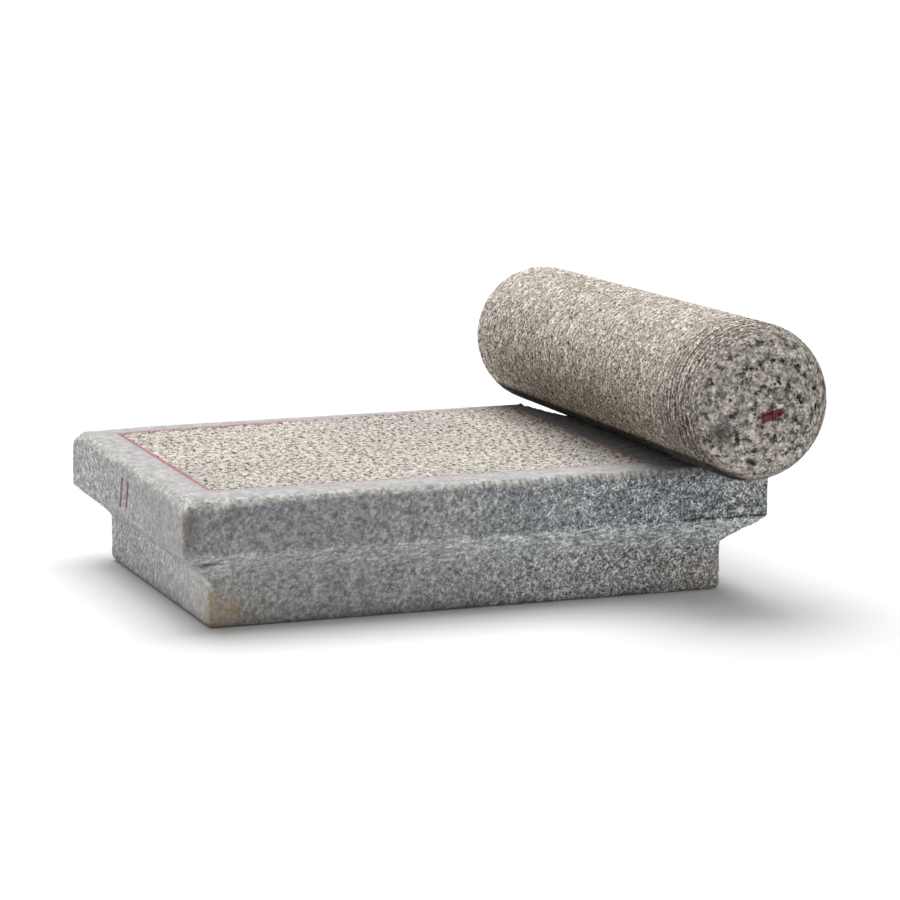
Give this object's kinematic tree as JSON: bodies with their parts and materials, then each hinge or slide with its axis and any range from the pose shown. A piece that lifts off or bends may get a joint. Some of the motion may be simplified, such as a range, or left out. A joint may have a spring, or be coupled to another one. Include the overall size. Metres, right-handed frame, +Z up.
{
  "type": "saddle quern stone",
  "caption": "Flat granite grinding slab, undercut on all sides down to a smaller plinth, with a dome-ended cylindrical roller stone lying across it.",
  "frame": {"origin": "middle of the plinth's flat underside", "axes": "+X along the slab's length towards the end where the roller lies, +Y across the slab away from the viewer of the picture, +Z up out of the grinding face"},
  "size_m": [0.2614, 0.2443, 0.1201],
  "materials": {
    "slab_granite": "pecked and chisel-dressed grey granite, cream where the grinding face is freshly pecked",
    "roller_granite": "pecked cream-grey granite with dark grains"
  },
  "bodies": {
    "root": {"grinding_slab": "slab_granite", "roller_stone": "roller_granite"}
  },
  "joints": []
}
